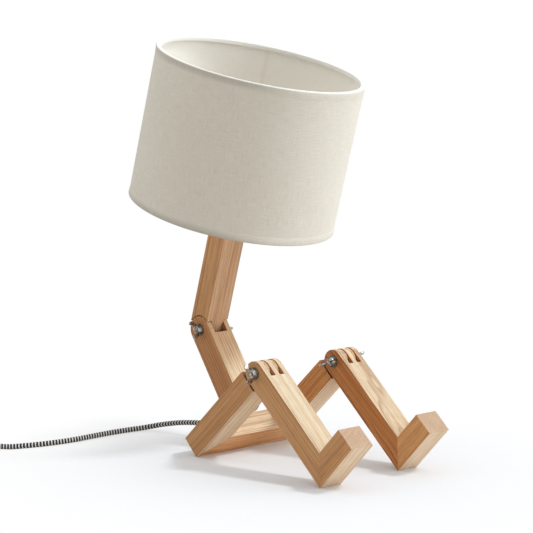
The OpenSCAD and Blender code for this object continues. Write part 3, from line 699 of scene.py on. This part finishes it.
def coil_point(turn):
    """A point of the coil, which starts at its south and runs clockwise."""
    whole = int(turn)
    here = COIL_RADII[whole]
    after = COIL_RADII[min(whole + 1, len(COIL_RADII) - 1)]
    cross = ease((turn - whole - CROSS_FROM) / (1 - CROSS_FROM))
    radius = (here + (after - here) * cross) * MM
    height = (COIL_LOW + (COIL_HIGH - COIL_LOW) * ease((turn - CLIMB_FROM) / (CLIMB_TO - CLIMB_FROM))) * MM
    a = TAU * turn
    return COIL + Vector((-radius * math.sin(a), -radius * math.cos(a), height))


coil_line = [coil_point(COIL_TURNS * i / COIL_PARTS) for i in range(COIL_PARTS + 1)]
run_line = smooth_route(run_points)
far_line = smooth_route(link_points) + coil_line + smooth_route(tail_points)

run_mesh = swept("cord_to_switch", run_line, CORD_D / 2)
run_cord = piece("cord_to_switch", run_mesh, body_of("cord_run"), cord_braid, ("cord_run",))
far_mesh = swept("cord_to_plug", far_line, CORD_D / 2)
far_nodes = ("cord_link", "cord_coil", "cord_tail")
far_cord = piece("cord_to_plug", far_mesh, body_of("cord_coil"), cord_braid, far_nodes)

# The tie around the coil's turns, at its north. The corners of its section are in millimetres, each as its
# distance from the coil's middle and its height
TIE_W = 0.009
TIE_T = 0.0007
TIE_ROUNDING = 4
TIE_CORNERS = ((19.6, 0.75), (42.4, 0.75), (42.4, 5.6), (39.6, 11.3), (20.4, 11.3), (19.6, 10.4))


def coil_tie():
    """A flat fabric band that holds the turns together and lies between them and the table."""
    form = bmesh.new()
    corners = [Vector((0, y * MM, z * MM)) for y, z in TIE_CORNERS]
    count = len(corners)
    rounded = []
    for i, corner in enumerate(corners):
        before = (corners[i - 1] - corner).normalized()
        after = (corners[(i + 1) % count] - corner).normalized()
        for k in range(TIE_ROUNDING + 1):
            t = k / TIE_ROUNDING
            start, end = corner + before * TIE_T, corner + after * TIE_T
            rounded.append(start * (1 - t) ** 2 + corner * 2 * t * (1 - t) + end * t * t)
    middle = sum(rounded, Vector()) / len(rounded)
    loops = []
    for x, inner in ((-1, False), (1, False), (1, True), (-1, True)):
        loop = []
        for point in rounded:
            inward = (middle - point).normalized() * (TIE_T if inner else 0)
            loop.append(form.verts.new(COIL + point + inward + Vector((x * TIE_W / 2, 0, 0))))
        loops.append(loop)
    for loop, following in zip(loops, loops[1:] + loops[:1]):
        for i in range(len(rounded)):
            k = (i + 1) % len(rounded)
            form.faces.new([loop[i], loop[k], following[k], following[i]])
    bmesh.ops.recalc_face_normals(form, faces=form.faces)
    return mesh_of("cord_tie", form, 50)


piece("cord_tie", coil_tie(), body_of("cord_coil"), tie_fabric)


# ---- Bars ----

for name, material in woods.items():
    softened(name, material, 0.0008)


# ---- Wing bolts and washers ----

for bolt, plate in nut_nickel.items():
    softened(bolt + "_nut", plate, 0.0005, 3, 40)
    softened(bolt + "_screw", nickel_plate, 0.0006, 3, 40)
for name in ("right_knee_washers", "left_knee_washers", "torso_washers"):
    softened(name, washer_steel, 0.00025, 2, 40)


# ---- Shade ----

SHADE_LOW = 0.1328
SHADE_H = 0.161
COVER_R = SHADE_R - 0.0003
SKIN_T = 0.0005
LINER_T = 0.0004
LINER_GAP = 0.00002
HEM_H = 0.0085
LIP_H = 0.0042
# How far the cover and lining end before the shade's rims, and the turned parts' number of faces around
COVER_INSET = 0.0029
SHADE_TURNS = 256
# The hem's sewn edge: it starts a hair outside the cover and leans out, down to where it leaves the cover
SEWN = ((0.00004, 0.0), (0.00012, 0.0003), (0.0002, 0.0035))
SEWN_DEPTH = 0.0001
# The fold over the wire: its width, how far it stands out, and its outer and inner corners
RIM_W = 0.0051
FLARE = 0.0004
OUTER_CORNER = 0.0011
INNER_CORNER = 0.0015
NECK_PLACE = placed(neck_mid, neck_way)


def wall(r_out, r_in, low, high):
    """The section of a thin wall, with rows close enough together to shade well."""
    rows = 12
    up = [(r_out, low + (high - low) * i / rows) for i in range(rows + 1)]
    down = [(r_in, high - (high - low) * i / rows) for i in range(rows + 1)]
    return up + down


def hem_profile(rim, way):
    """The section of a hem folded over the wire at the height rim. way is 1 at the lower rim and -1 above."""
    steps = 5
    right_angle = [math.pi / 2 * i / steps for i in range(steps + 1)]
    out = SHADE_R + FLARE - OUTER_CORNER
    inside = SHADE_R - RIM_W + INNER_CORNER
    points = [(COVER_R + off, HEM_H - drop) for off, drop in SEWN]
    for a in right_angle:
        points.append((out + OUTER_CORNER * math.cos(a), OUTER_CORNER - OUTER_CORNER * math.sin(a)))
    for a in right_angle:
        points.append((inside - INNER_CORNER * math.sin(a), INNER_CORNER - INNER_CORNER * math.cos(a)))
    points += [(inside - INNER_CORNER, LIP_H), (inside - INNER_CORNER + SKIN_T, LIP_H)]
    corner = INNER_CORNER - SKIN_T
    for a in reversed(right_angle):
        points.append((inside - corner * math.sin(a), INNER_CORNER - corner * math.cos(a)))
    corner = OUTER_CORNER - SKIN_T
    for a in reversed(right_angle):
        points.append((out + corner * math.cos(a), OUTER_CORNER - corner * math.sin(a)))
    points += [(COVER_R - SEWN_DEPTH, HEM_H - SEWN[-1][1]), (COVER_R - SEWN_DEPTH, HEM_H)]
    return [(r, rim + way * h) for r, h in points]


cover_ends = (SHADE_LOW + COVER_INSET, SHADE_LOW + SHADE_H - COVER_INSET)
LINER_R = COVER_R - SKIN_T
cover_wall = wall(COVER_R, LINER_R, *cover_ends)
liner_wall = wall(LINER_R - LINER_GAP, LINER_R - LINER_T, *cover_ends)
SHADE_PARTS = (
    ("linen_cover", cover_wall, "linen", cover_linen, "shade_cover"),
    ("shade_lining", liner_wall, "liner", liner_fabric, "shade_liner"),
    ("lower_hem", hem_profile(SHADE_LOW, 1), "linen", lower_hem_linen, "bottom_hem"),
    ("upper_hem", hem_profile(SHADE_LOW + SHADE_H, -1), "linen", upper_hem_linen, "top_hem"),
)
for name, profile, slot, material, node in SHADE_PARTS:
    piece(name, lathe(name, profile, NECK_PLACE, SHADE_TURNS), "neck", material, (node,))


# ---- Materials of the CAD pieces that stay ----

KEPT = {
    "hip_dowels": dowel_wood, "right_heel_dowels": dowel_wood, "left_heel_dowels": dowel_wood,
    "hip_lead": lead_plastic, "torso_lead": lead_plastic, "neck_lead": lead_plastic,
    "threaded_tube": brass, "contact_block": holder_plastic, "centre_contact": brass, "screw_shell": brass,
    "fitter_frame": frame_paint, "top_wire": wire_steel, "bulb_globe": opal, "switch_terminals": brass,
}
for name, material in KEPT.items():
    mesh = nodes[name].data
    mesh.materials.clear()
    mesh.materials.append(material)
    mesh.shade_smooth()
    mesh.set_sharp_from_angle(angle=math.radians(SHARP))


# ---- Lamp holder and bulb cap ----

for node, width in (("holder_cap", 0.0005), ("holder_body", 0.0005), ("shade_nut", 0.0006)):
    softened(node, holder_plastic, width)
softened("bulb_cap", cap_metal, 0.0003, 2)


# ---- Cord grip, switch and plug ----

GRIP_BORE_R = 0.0029
GRIP_BASE_R = 0.0039
GRIP_TIP_R = 0.0033
GROOVES = 7
GROOVE_PITCH = 0.0028
FIRST_GROOVE = 0.004
# A groove's section, as way along the grip and depth
GROOVE = ((0, 0), (0.0002, 0.0007), (0.0009, 0.0007), (0.0011, 0))


def ribbed_grip():
    """The section of the tapered strain relief, with grooves that let it bend."""
    profile = [(GRIP_BORE_R, 0), (GRIP_BASE_R, 0)]
    for i in range(GROOVES):
        for along, depth in GROOVE:
            h = FIRST_GROOVE + i * GROOVE_PITCH + along
            profile.append((GRIP_BASE_R + (GRIP_TIP_R - GRIP_BASE_R) * h / GRIP_L - depth, h))
    profile += [(GRIP_TIP_R, GRIP_L - 0.0006), (GRIP_TIP_R - 0.0005, GRIP_L), (GRIP_BORE_R, GRIP_L)]
    return profile


grip_place = placed(GRIP_TIP - GRIP_L * GRIP_WAY, GRIP_WAY)
grip_mesh = lathe("strain_relief", ribbed_grip(), grip_place, 48)
piece("strain_relief", grip_mesh, "hips", black_plastic, ("cord_grip",))

# The moulded parts' edges: radius and number of facets
MOULDED = {
    "switch_base": (0.0007, 3),
    "switch_top": (0.0012, 4),
    "switch_rocker": (0.0005, 3),
    "plug_body": (0.0015, 4),
}
for node, (width, segments) in MOULDED.items():
    softened(node, black_plastic, width, segments)
softened("plug_pins", pin_metal, 0.0006)


# ---- Floor, light and camera ----

WHITE = (1, 1, 1, 1)
FLOOR_PAPER = srgb(230, 232, 235)
# What the lamp gets back from the floor
FLOOR_BOUNCE = srgb(206, 199, 190)
FLOOR_HALF = 6.0
FLOOR_GAP = 0.0002
# The point from which the floor's shadows fade to white
SHADOW_MID = (0.05, -0.02, 0)


def floor_material():
    """A white floor that keeps the shadows near the lamp, and that lights the lamp softly from below."""
    t = Tree("floor_paper")
    t.set(Base_Color=FLOOR_PAPER, Roughness=0.9, Specular_IOR_Level=0.0)
    bounce = t.add("BsdfDiffuse", {"Color": FLOOR_BOUNCE})
    away = t.vector("DISTANCE", t.add("TexCoord").outputs["Object"], SHADOW_MID)
    plain = t.add("Emission", {"Color": WHITE, "Strength": 1.0})
    fade = t.ramp(away, (0.12, 0.05), (0.32, 1.0))
    faded = t.add("MixShader", {0: fade, 1: t.shader.outputs[0], 2: plain.outputs[0]})
    mixed = t.add("MixShader", {0: t.seen(), 1: bounce.outputs[0], 2: faded.outputs[0]})
    t.put(t.output, "Surface", mixed.outputs[0])
    return t.material


floor_mesh = bpy.data.meshes.new("floor")
floor_corners = [(x * FLOOR_HALF, y * FLOOR_HALF, 0) for x, y in ((-1, -1), (1, -1), (1, 1), (-1, 1))]
floor_mesh.from_pydata(floor_corners, [], [(0, 1, 2, 3)])
floor = bpy.data.objects.new("floor", floor_mesh)
bpy.context.scene.collection.objects.link(floor)
floor.location.z = -FLOOR_GAP
floor_mesh.materials.append(floor_material())

VIEW_AZ = math.radians(44.56)
VIEW_EL = math.radians(6.43)
VIEW_ROLL = math.radians(1.26)


def light_from(name, azimuth, elevation, strength, angle, colour):
    """A sun lamp. azimuth is measured from the view's right towards its back. All angles are in degrees."""
    lamp = bpy.data.lights.new(name, "SUN")
    lamp.energy = strength
    lamp.angle = math.radians(angle)
    lamp.color = colour
    thing = bpy.data.objects.new(name, lamp)
    a = VIEW_AZ + math.radians(azimuth)
    e = math.radians(elevation)
    towards = Vector((math.cos(e) * math.cos(a), math.cos(e) * math.sin(a), math.sin(e)))
    thing.rotation_euler = towards.to_track_quat("Z", "Y").to_euler()
    bpy.context.scene.collection.objects.link(thing)


light_from("key", azimuth=-8, elevation=54, strength=1.3, angle=8, colour=(0.95, 0.98, 1))
light_from("low_fill", azimuth=-4, elevation=2, strength=2.1, angle=60, colour=(0.9, 0.96, 1))
light_from("left_fill", azimuth=-165, elevation=15, strength=0.3, angle=70, colour=(1, 0.96, 0.9))


def studio():
    """A world that is seen white, with its light strongest from above and weaker from the camera's side."""
    world = bpy.data.worlds.new("studio")
    world.use_nodes = True
    world.node_tree.nodes.clear()
    g = Graph(world.node_tree)
    aim = g.add("TexCoord").outputs["Generated"]
    up = g.add("SeparateXYZ", {0: aim}).outputs[2]
    from_above = g.rescaled(up, (0.0, 1.0), (0.3, 1.15))
    to_camera = g.vector("DOT_PRODUCT", aim, (math.sin(VIEW_AZ), -math.cos(VIEW_AZ), 0.1))
    from_camera = g.rescaled(to_camera, (0.1, 1.0), (1.0, 0.5))
    soft = g.add("Background", {"Color": g.math("MULTIPLY", from_above, from_camera), "Strength": 1.0})
    white = g.add("Background", {"Color": WHITE, "Strength": 1.0})
    mixed = g.add("MixShader", {0: g.seen(), 1: soft.outputs[0], 2: white.outputs[0]})
    g.add("OutputWorld", {"Surface": mixed.outputs[0]})
    return world


bpy.context.scene.world = studio()

# The camera's place and lens, found by fitting the bars' edges
CAMERA_AT = Vector((1.3035, -1.3227, 0.4196))
LENS = 122.2
SENSOR = 36
SHIFT_X = -0.02165
SHIFT_Y = -0.02308

camera_data = bpy.data.cameras.new("camera")
camera_data.lens = LENS
camera_data.sensor_width = SENSOR
camera_data.shift_x = SHIFT_X
camera_data.shift_y = SHIFT_Y
camera_data.clip_end = 50
camera = bpy.data.objects.new("camera", camera_data)
bpy.context.scene.collection.objects.link(camera)
back = Vector((
    math.sin(VIEW_AZ) * math.cos(VIEW_EL),
    -math.cos(VIEW_AZ) * math.cos(VIEW_EL),
    math.sin(VIEW_EL),
))
level = Vector((math.cos(VIEW_AZ), math.sin(VIEW_AZ), 0))
upward = back.cross(level)
c, s = math.cos(VIEW_ROLL), math.sin(VIEW_ROLL)
view = Matrix((c * level + s * upward, c * upward - s * level, back)).transposed().to_4x4()
view.translation = CAMERA_AT
camera.matrix_world = view
bpy.context.scene.camera = camera
bpy.context.scene.view_settings.view_transform = "Standard"
